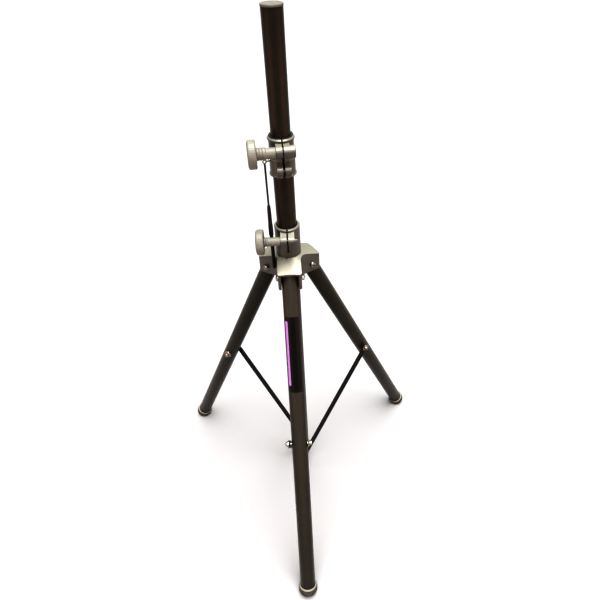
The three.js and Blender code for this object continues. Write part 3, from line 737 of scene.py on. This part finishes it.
# ---- Upper collar ----
def add_upper_collar(casting, plastic, knob, steel):
    place = STAND @ turn(COLLAR_TURN)
    bottom, top = COLLAR_Z
    ledge, ring = 949, 955.5
    sleeve = turned([
        (17, bottom), (25, bottom), (25, bottom + 1.7), (23.3, bottom + 3.4), (23.3, ledge - 1.5),
        (25, ledge - 0.7), (25, ledge + 0.5), (24.1, ledge + 1), (24.1, ring - 1), (24.9, ring - 0.6),
        (24.9, ring), (22.3, ring + 0.6), (22.3, top - 6.5), (24.4, top - 4.8), (24.4, top - 2.4),
        (22, top), (17, top),
    ], place, 120, 0.35)
    upper_axis = place @ shift(0, *UPPER_SCREW) @ ALONG_X
    pinch_axis = place @ shift(0, *PINCH_SCREW) @ ALONG_X
    barrel = turned([
        (0, 4), (BARREL_R, 4), (BARREL_R, BARREL_END_X - 1), (BARREL_R - 1, BARREL_END_X),
        (0, BARREL_END_X),
    ], upper_axis, 96, 0.5)
    solid = join(
        sleeve,
        ears(UPPER_SCREW, 982, 957, BARREL_R, 82, UPPER_EAR_X, place),
        ears(PINCH_SCREW, 946, 919, 8.6, 80, PINCH_EAR_X, place),
        barrel,
    )
    seat = high_z("main_tube") + 2
    slit = 1.3
    pocket_floor = PINCH_EAR_X - POCKET
    hollow = [
        rod(MAST_R + GAP, bottom - 1, seat, place, 96),
        rod(20.3, seat - 1, top + 1, place, 96),
        block((-slit, slit), (-60, 0), (seat - 3, top + 1), place),
        block((-2.2, 2.2), (-60, 0), (bottom - 1, seat - 2), place),
        rod(4.4, -40, 0, upper_axis, 32),
        rod(6.5, 0, 40, upper_axis, 40),
        rod(3.4, -40, 40, pinch_axis, 32),
        rod(5.4, -40, -pocket_floor, pinch_axis, 40),
        hex_prism(10.7, pocket_floor, 40, pinch_axis),
    ]
    stand_in("upper_collar_casting", cut(solid, *hollow), casting, "upper_collar", bevel=0.55)

    liner_top = high_z("upper_collar_liner")
    bore = SHAFT_R + 0.35
    liner = turned([
        (bore, seat + GAP), (20, seat + GAP), (20, top + GAP), (21.6, top + GAP),
        (21.6, liner_top), (bore, liner_top),
    ], place, 96, 0.4)
    liner_slit = block((-slit, slit), (-60, 0), (seat - 2, top + 4), place)
    stand_in("upper_liner_moulding", cut(liner, liner_slit), plastic, "upper_collar_liner")

    add_knob("upper", UPPER_SCREW, place, knob, steel)
    insert_end = BARREL_END_X - 0.5
    insert = turned([(4.3, 1.8), (6.2, 1.8), (6.2, insert_end), (4.3, insert_end)], upper_axis, 40, 0.3)
    stand_in("upper_insert_turned", insert, steel, "upper_clamp_insert")

    seat_x, head_thick = pocket_floor + GAP, 5
    head = turned([
        (0, -seat_x - head_thick), (4.5, -seat_x - head_thick), (5, -seat_x - head_thick + 0.5),
        (5, -seat_x), (0, -seat_x),
    ], pinch_axis, 48, 0.3)
    shank = threaded(3, -seat_x - 1, PINCH_EAR_X, 1.0, pinch_axis, 0.4)
    socket = hex_prism(5, -seat_x - head_thick - 1, -seat_x - 2, pinch_axis)
    stand_in("pinch_bolt_thread", cut(join(head, shank), socket), steel, "collar_pinch_bolt")
    nut = hex_nut(10, seat_x, seat_x + 5, 3.3, pinch_axis)
    stand_in("pinch_nut_forging", nut, steel, "collar_pinch_nut", bevel=0.2)


# ---- Leg housing ----
def lobe_plan(half, reach, fillet, corner):
    """Three lobes seen from above: straight cheeks, round corners, wide concave fillets."""
    outline = []
    centre = (half + fillet) / math.sin(math.pi / 3)
    for bearing in LEGS.values():
        a = math.radians(bearing)

        def spot(r, t):
            return (r * math.cos(a) - t * math.sin(a), r * math.sin(a) + t * math.cos(a))

        outline += arc(spot(reach - corner, -half + corner), corner, bearing - 90, bearing, 5)
        outline += arc(spot(reach - corner, half - corner), corner, bearing, bearing + 90, 5)
        middle = a + math.pi / 3
        hub = (centre * math.cos(middle), centre * math.sin(middle))
        outline += arc(hub, fillet, bearing - 90, bearing - 150, 12)
    return outline


def under_lobe_top(drop):
    """Everything under the sloping tops of the lobes, lowered by drop."""
    far = 80

    def height(r):
        return LOBE_TOP["z"] - drop - (r - LOBE_TOP["r"]) * LOBE_TOP["slope"]

    return turned([
        (0, LOBE_BOTTOM - 5), (far, LOBE_BOTTOM - 5), (far, height(far)),
        (LOBE_TOP["r"], height(LOBE_TOP["r"])), (0, height(LOBE_TOP["r"])),
    ], STAND, 96, 0)


def add_leg_housing(casting, plastic, knob, steel):
    top_z = LOBE_TOP["z"]
    outline = lobe_plan(LOBE_HALF, LOBE_REACH, LOBE_FILLET, 4)
    lobes = combined("INTERSECT", raised(outline, LOBE_BOTTOM, top_z, STAND), under_lobe_top(0))
    hollow_plan = lobe_plan(LOBE_HALF - LOBE_WALL, LOBE_REACH + 10, LOBE_FILLET + LOBE_WALL, 1)
    cavity = combined(
        "INTERSECT", raised(hollow_plan, LOBE_BOTTOM - 4, top_z + 6, STAND), under_lobe_top(4)
    )
    ring_top = LOBE_BOTTOM + 10
    webs = [block((21, 29.5), (-3, 3), (LOBE_BOTTOM, ring_top), spoke(b + 60)) for b in LEGS.values()]
    collar = turned([
        (0, top_z - 6), (HOUSING_R + 0.8, top_z - 6), (HOUSING_R, top_z + 2),
        (HOUSING_R, HOUSING_TOP - 2.5), (HOUSING_R + 0.5, HOUSING_TOP - 2.2),
        (HOUSING_R - 1.6, HOUSING_TOP), (0, HOUSING_TOP),
    ], STAND, 120, 0.3)
    solid = join(
        cut(lobes, cavity), rod(23.2, LOBE_BOTTOM, ring_top, STAND, 96), *webs, collar,
        ears(LOWER_SCREW, 803, 774, 10, 84, LOWER_EAR_X, STAND),
    )
    slit, slit_bottom, seat = 1.5, 757, 746
    bore = MAST_R + GAP
    screw_axis = STAND @ shift(0, *LOWER_SCREW) @ ALONG_X
    hollow = [
        rod(bore, LOBE_BOTTOM - 1, HOUSING_TOP + 1, STAND, 96),
        rod(21.3, seat, HOUSING_TOP + 1, STAND, 96),
        block((-slit, slit), (-60, 0), (slit_bottom, HOUSING_TOP + 1), STAND),
        rod(2.6, -40, 0, STAND @ shift(z=slit_bottom) @ ALONG_Y, 32),
        rod(4.4, -40, 40, screw_axis, 32),
        hex_prism(13.7, LOWER_EAR_X - NUT_THICK - 2 * GAP, 40, screw_axis),
    ]
    hollow += [rod(4.4, -40, 40, pivot_axis(bearing), 32) for bearing in LEGS.values()]
    stand_in("leg_housing_casting", cut(solid, *hollow), casting, "leg_housing", bevel=0.7)

    liner = turned([
        (bore, seat + GAP), (21, seat + GAP), (21, HOUSING_TOP - 1.5), (bore, HOUSING_TOP - 1.5),
    ], STAND, 96, 0.3)
    liner_slit = block((-slit, slit), (-60, 0), (seat - 1, HOUSING_TOP + 1), STAND)
    stand_in("housing_liner_moulding", cut(liner, liner_slit), plastic, "leg_housing_liner")

    add_knob("lower", LOWER_SCREW, STAND, knob, steel)
    nut_end = LOWER_EAR_X - GAP
    nut = hex_nut(13, nut_end - NUT_THICK, nut_end, 4.3, screw_axis)
    stand_in("lower_nut_forging", nut, steel, "lower_clamp_nut", bevel=0.25)


# ---- Legs ----
def add_foot(leg, bearing, rubber):
    """A rubber boot with a bevelled rim, its sole cut flat on the floor."""
    edge = 9
    rounding = arc((FOOT_R - edge, FOOT_SOLE_S + edge), edge, -90, 0, 9)
    bore = LEG_R + GAP
    boot = turned([
        (0, FOOT_SOLE_S), *rounding, (FOOT_R, -2.2), (FOOT_R - 0.9, -0.2), (FOOT_R - 1.6, 0),
        (bore, 0), (bore, LEG_TUBE_S[0] - GAP), (0, LEG_TUBE_S[0] - GAP),
    ], leg_frame(bearing), 96, 0.35)
    above_floor = block((250, 450), (-60, 60), (0, 80), spoke(bearing))
    boot = combined("INTERSECT", boot, above_floor)
    stand_in("foot_boot_" + leg, boot, rubber, "foot_" + leg, bevel=0.5)


def add_pivot_bolt(leg, bearing, steel):
    axis = pivot_axis(bearing)
    face = LOBE_HALF + GAP
    dome = turned([
        (0, -face - 5), (2.6, -face - 4.9), (4.6, -face - 4.3), (6, -face - 2.9),
        (6.6, -face - 1.2), (6.6, -face), (0, -face),
    ], axis, 56, 0.3)
    socket = hex_prism(4.4, -face - 6, -face - 2.2, axis)
    shank = threaded(4, -face - 1, face + 6.5, 1.25, axis, 0.5)
    stand_in("pivot_bolt_thread_" + leg, join(cut(dome, socket), shank), steel, "pivot_bolt_" + leg)
    nut = hex_nut(11, face, face + 5, 4.3, axis)
    stand_in("pivot_nut_forging_" + leg, nut, steel, "pivot_nut_" + leg, bevel=0.2)


def add_brace_fasteners(leg, bearing, steel):
    axis = leg_frame(bearing) @ shift(z=BRACE_BOLT_S) @ ALONG_Y
    outer = LEG_R + GAP
    head = turned([
        (0, outer + 4.2), (5.2, outer + 4.2), (5.2, outer + 7.6), (4.6, outer + 8.6),
        (3.2, outer + 9.3), (0, outer + 9.5),
    ], axis, 48, 0.25)
    shank = rod(3, -outer - 1.9, outer + 5, axis, 32)
    stand_in("brace_bolt_turned_" + leg, join(head, shank), steel, "brace_bolt_" + leg)
    washer = turned([
        (3.3, outer + 0.1), (8.9, outer + 0.1), (9.5, outer + 0.5), (9.2, outer + 1.2), (7, outer + 2.4),
        (6, outer + 3.9), (3.3, outer + 3.9),
    ], axis, 56, 0.3)
    stand_in("brace_washer_pressing_" + leg, washer, steel, "brace_washer_" + leg)

    eye = strap_frame(bearing) @ shift(z=STRAP_LENGTH) @ ALONG_Y
    near = STRAP_T + STRAP_THICK / 2
    far = STRAP_T - STRAP_THICK / 2
    washer_and_stud = turned([
        (0, near - GAP), (3.1, near - GAP), (3.1, far - GAP), (9, far - GAP), (9, far - 1.6),
        (0, far - 1.6),
    ], eye, 56, 0.2)
    acorn = turned([
        (0, far - 1.4), (5.2, far - 1.4), (5.2, far - 4.4), (4.4, far - 6.2), (2.8, far - 7.4),
        (0, far - 7.8),
    ], eye, 40, 0.3)
    flats = hex_nut(9.8, far - 4.6, far - 1.3, 1.0, eye)
    dome_nut = join(washer_and_stud, acorn, flats)
    stand_in("dome_nut_forging_" + leg, dome_nut, steel, "brace_nut_" + leg)


def add_strap(leg, bearing, paint):
    """Flat bar with round ends, pressed into a shallow channel between its eyes."""
    half, length = STRAP_HALF, STRAP_LENGTH
    outline = arc((0, 0), half, -180, 0, 20) + arc((0, length), half, 0, 180, 20)
    near = STRAP_T + STRAP_THICK / 2
    basis = Matrix(((1, 0, 0, 0), (0, 0, -1, near), (0, 1, 0, 0), (0, 0, 0, 1)))
    place = strap_frame(bearing) @ basis
    bar = raised(outline, 0, STRAP_THICK, place)
    channel_half, channel_start, channel_depth = 4.2, 22, 0.7
    channel = arc((0, channel_start), channel_half, -180, 0, 10)
    channel += arc((0, length - channel_start), channel_half, 0, 180, 10)
    tools = [rod(3.4, -1, STRAP_THICK + 1, place @ shift(y=y), 32) for y in (0, length)]
    for z0, z1 in ((-1, channel_depth), (STRAP_THICK - channel_depth, STRAP_THICK + 1)):
        tools.append(raised(channel, z0, z1, place))
    stand_in("strap_pressing_" + leg, cut(bar, *tools), paint, "brace_strap_" + leg, bevel=0.6)


def add_leg(leg, bearing, looks):
    place = leg_frame(bearing)
    pivot_hole, plug_hole = (
        rod(4.6, -30, 30, place @ shift(z=LEG_LENGTH) @ ALONG_Y, 32) for _ in range(2)
    )
    brace_hole = rod(3.4, -30, 30, place @ shift(z=BRACE_BOLT_S) @ ALONG_Y, 32)
    add_tube("leg_pipe_" + leg, "leg_tube_" + leg, LEG_R - TUBE_WALL, LEG_R, *LEG_TUBE_S,
             place, [pivot_hole, brace_hole], looks["tube"])
    top = LEG_TUBE_S[1] - 0.5
    plug_r = LEG_R - TUBE_WALL - GAP
    plug = turned([
        (0, top - 25.5), (plug_r - 1.2, top - 25.5), (plug_r, top - 24), (plug_r, top - 1),
        (plug_r - 1, top), (0, top),
    ], place, 64)
    stand_in("leg_plug_moulding_" + leg, cut(plug, plug_hole), looks["plastic"], "leg_top_plug_" + leg)
    add_foot(leg, bearing, looks["rubber"])
    add_pivot_bolt(leg, bearing, looks["steel"])
    add_brace_fasteners(leg, bearing, looks["steel"])
    add_strap(leg, bearing, looks["strap"])


# ---- Label on the front leg ----
def wrapped_patch(place, radius, thick, across, along, corner):
    """A thin rounded sheet wrapped on a tube: across in degrees, along in mm from the foot's rim."""
    half_w = math.radians((across[1] - across[0]) / 2) * radius
    half_l = (along[1] - along[0]) / 2
    columns, rows = 24, 28
    bm = bmesh.new()
    layers = []
    for lift in (0, thick):
        grid = []
        for row in range(rows + 1):
            v = -half_l + 2 * half_l * (0.5 - 0.5 * math.cos(math.pi * row / rows))
            inset = max(0, corner - (half_l - abs(v)))
            narrowed = half_w - (corner - math.sqrt(max(0, corner**2 - inset**2)))
            line = []
            for column in range(columns + 1):
                u = narrowed * (2 * column / columns - 1)
                angle = math.radians((across[0] + across[1]) / 2) + u / radius
                r = radius + lift
                spot = Vector((r * math.cos(angle), r * math.sin(angle), v + (along[0] + along[1]) / 2))
                line.append(bm.verts.new(place @ spot))
            grid.append(line)
        layers.append(grid)
    inner, outer = layers
    for row in range(rows):
        for column in range(columns):
            for grid in layers:
                here, above = grid[row], grid[row + 1]
                bm.faces.new((here[column], here[column + 1], above[column + 1], above[column]))
        for column in (0, columns):
            bm.faces.new((inner[row][column], inner[row + 1][column],
                          outer[row + 1][column], outer[row][column]))
    for row in (0, rows):
        for column in range(columns):
            bm.faces.new((inner[row][column], inner[row][column + 1],
                          outer[row][column + 1], outer[row][column]))
    bmesh.ops.recalc_face_normals(bm, faces=bm.faces[:])
    return bm


def add_label():
    """A black label with a plain violet stripe, and no lettering."""
    place = leg_frame(LEGS["front"])
    black = label_vinyl("label_black", (0.0015, 0.0015, 0.0012), (0.003, 0.003, 0.0025))
    violet = label_vinyl("label_violet", (0.27, 0.12, 0.32), (0.31, 0.15, 0.36))
    layers = (
        ("label_ground", black, LEG_R + 0.04, 0.12, (-62, 46), (506, 673), 3.0),
        ("label_stripe", violet, LEG_R + 0.13, 0.08, (-57, -36), (520, 664), 3.0),
    )
    for name, look, radius, thick, across, along, corner in layers:
        patch = wrapped_patch(place, radius, thick, across, along, corner)
        add_piece(name, patch, look, BODY_OF["leg_tube_front"])


# ---- Lock pin on its lanyard ----
def add_braid(exit_z, cord_end, look):
    points = 16
    data = bpy.data.curves.new("lanyard_braid", "CURVE")
    data.dimensions = "3D"
    data.bevel_depth = CORD_R * MM
    data.bevel_resolution = 5
    data.use_fill_caps = True
    spline = data.splines.new("POLY")
    spline.points.add(points - 1)
    for i, point in enumerate(spline.points):
        z = exit_z + (cord_end - exit_z) * i / (points - 1)
        point.co = (PIN.x, PIN.y, z * MM, 1)
    data.materials.append(look)
    cord = bpy.data.objects.new("lanyard_braid", data)
    bpy.context.collection.objects.link(cord)
    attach(cord, BODY_OF["lanyard_cord"])
    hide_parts("lanyard_cord")
    return cord


def add_grip(plastic):
    """A tapered grip with raised rings, bored at the top for the cord."""
    top, low = high_z("lock_pin_grip"), low_z("lock_pin_grip")
    rings = []
    ring_count, ring_pitch = 7, 4.6
    for i in range(ring_count):
        z = low + 22 + ring_pitch * i
        r = 4.3 - 0.9 * (z - low) / (top - low)
        rings += [(r, z), (r - 0.45, z + 0.9), (r, z + 1.8)]
    bore = CORD_R + 0.1
    grip = turned([
        (0, low), (3.9, low), (4.5, low + 1.4), (4.4, low + 14), *rings,
        (3, top - 2), (2.3, top), (bore, top), (bore, top - 8), (0, top - 8),
    ], PIN_AXIS, 48, 0.4)
    return stand_in("pin_grip_moulding", grip, plastic, "lock_pin_grip")


def add_lock_pin(look):
    low, high = low_z("lock_pin"), high_z("lock_pin")
    pin = turned([
        (0, low), (1.8, low), (3.6, low + 3.4), (3.6, low + 10), (2.9, low + 10.8), (2.9, low + 13),
        (3.6, low + 13.8), (3.6, high - 4.2), (4.5, high - 3.6), (4.5, high - 0.5), (3.8, high), (0, high),
    ], PIN_AXIS, 48, 0.3)
    ball = turned([
        (0, 2.5), (0.9, 2.6), (1.25, 3.3), (1.1, 3.9), (0.6, 4.25), (0, 4.35),
    ], PIN_AXIS @ shift(z=low + 19) @ turn(-110) @ ALONG_X, 24, 0.1)
    stand_in("lock_pin_turned", join(pin, ball), look, "lock_pin")


def add_eye(steel):
    """A ring of wire on a shank that stands out of the upper collar."""
    across = (Vector((PIN.x, PIN.y, 0)) - Vector((MAST.x, MAST.y, 0))) / MM
    outwards = STAND @ turn(math.degrees(math.atan2(across.y, across.x)))
    ring_z = (low_z("lanyard_eye") + high_z("lanyard_eye")) / 2
    ring_r = 3.2
    ring = ring_wire(ring_r, 1.2, outwards @ shift(across.length, 0, ring_z) @ turn(90, "X"))
    axis = outwards @ shift(z=ring_z) @ ALONG_X
    shank = rod(1.6, 25.4, across.length - ring_r, axis, 32, 0.3)
    washer = turned([(0, 25.3), (3.1, 25.3), (3.1, 26.3), (0, 26.3)], axis, 40, 0.25)
    stand_in("eye_bolt_wire", join(ring, shank, washer), steel, "lanyard_eye")


def add_lanyard(looks):
    exit_z = high_z("lanyard_cord")
    cord_end = low_z("lanyard_cord") - 6  # the cord goes on into the grip's bore
    cord = add_braid(exit_z, cord_end, looks["cord"])
    grip = add_grip(looks["plastic"])
    add_lock_pin(looks["strap"])
    add_eye(looks["steel"])


# ---- Studio ----
def add_sun(name, direction, angle, strength):
    """A soft light from far away; direction is where it stands, angle is its width in degrees."""
    data = bpy.data.lights.new(name, "SUN")
    data.energy = strength
    data.angle = math.radians(angle)
    lamp = bpy.data.objects.new(name, data)
    lamp.rotation_euler = Vector(direction).to_track_quat("Z", "Y").to_euler()
    bpy.context.collection.objects.link(lamp)


def add_softbox(name, location, aim, size, power, color=(1, 1, 1)):
    data = bpy.data.lights.new(name, "AREA")
    data.color = color
    data.shape = "RECTANGLE"
    data.size, data.size_y = size
    data.energy = power
    lamp = bpy.data.objects.new(name, data)
    lamp.location = location
    lamp.rotation_euler = (Vector(aim) - Vector(location)).to_track_quat("-Z", "Y").to_euler()
    lamp.visible_camera = False
    bpy.context.collection.objects.link(lamp)


def add_studio():
    floor_material, tree, shader = base_material("studio_floor", (0.18, 0.18, 0.18), 0.9, specular=0.05)
    color = blend_colors(tree, noise(tree, 1.5), (0.178, 0.178, 0.179), (0.185, 0.185, 0.185))
    tree.links.new(color, shader.inputs["Base Color"])
    floor_r, floor_z = 400, -0.0004  # in metres; just under the soles
    bm = bmesh.new()
    bm.faces.new([bm.verts.new((x, y, floor_z)) for x, y in arc((0, 0), floor_r, 0, 354, 59)])
    mesh = bpy.data.meshes.new("studio_floor")
    bm.to_mesh(mesh)
    bm.free()
    mesh.materials.append(floor_material)
    floor = bpy.data.objects.new("studio_floor", mesh)
    bpy.context.collection.objects.link(floor)

    world = bpy.data.worlds.new("studio")
    world.use_nodes = True
    background = world.node_tree.nodes["Background"]
    background.inputs["Color"].default_value = (1, 1, 1, 1)
    background.inputs["Strength"].default_value = 0.2
    bpy.context.scene.world = world
    bpy.context.scene.view_settings.view_transform = "Standard"
    bpy.context.scene.view_settings.gamma = 0.7  # a picture of hard contrast

    add_sun("overhead_sun", (0.08, -0.08, 1), 50, 17)
    add_softbox("back_panel", (0.3, 5.0, 3.7), (0, 0, 0.95), (8, 4), 200, (1, 0.97, 0.88))
    add_softbox("front_softbox", (-0.2, -4.2, 3.0), (0, 0, 0.8), (5, 1.4), 140)
    warm = (1, 0.5, 0.34)
    for name, side in (("left_low_softbox", -1), ("right_low_softbox", 1)):
        add_softbox(name, (1.75 * side, -1.0, 0.7), (0, 0, 0.9), (2, 1), 24, warm)


# ---- The whole stand ----
add_camera()
looks = {
    "tube": tube_paint(),
    "casting": casting_paint(),
    "knob": knob_plastic(),
    "plastic": black_plastic(),
    "cap": cap_plastic(),
    "rubber": foot_rubber(),
    "steel": nickel_plate(),
    "strap": strap_paint(),
    "cord": cord_braid(),
}
add_lanyard(looks)
add_mast(looks["tube"], looks["plastic"], looks["cap"], looks["steel"])
add_upper_collar(looks["casting"], looks["plastic"], looks["knob"], looks["steel"])
add_leg_housing(looks["casting"], looks["plastic"], looks["knob"], looks["steel"])
for leg, bearing in LEGS.items():
    add_leg(leg, bearing, looks)
add_label()
add_studio()
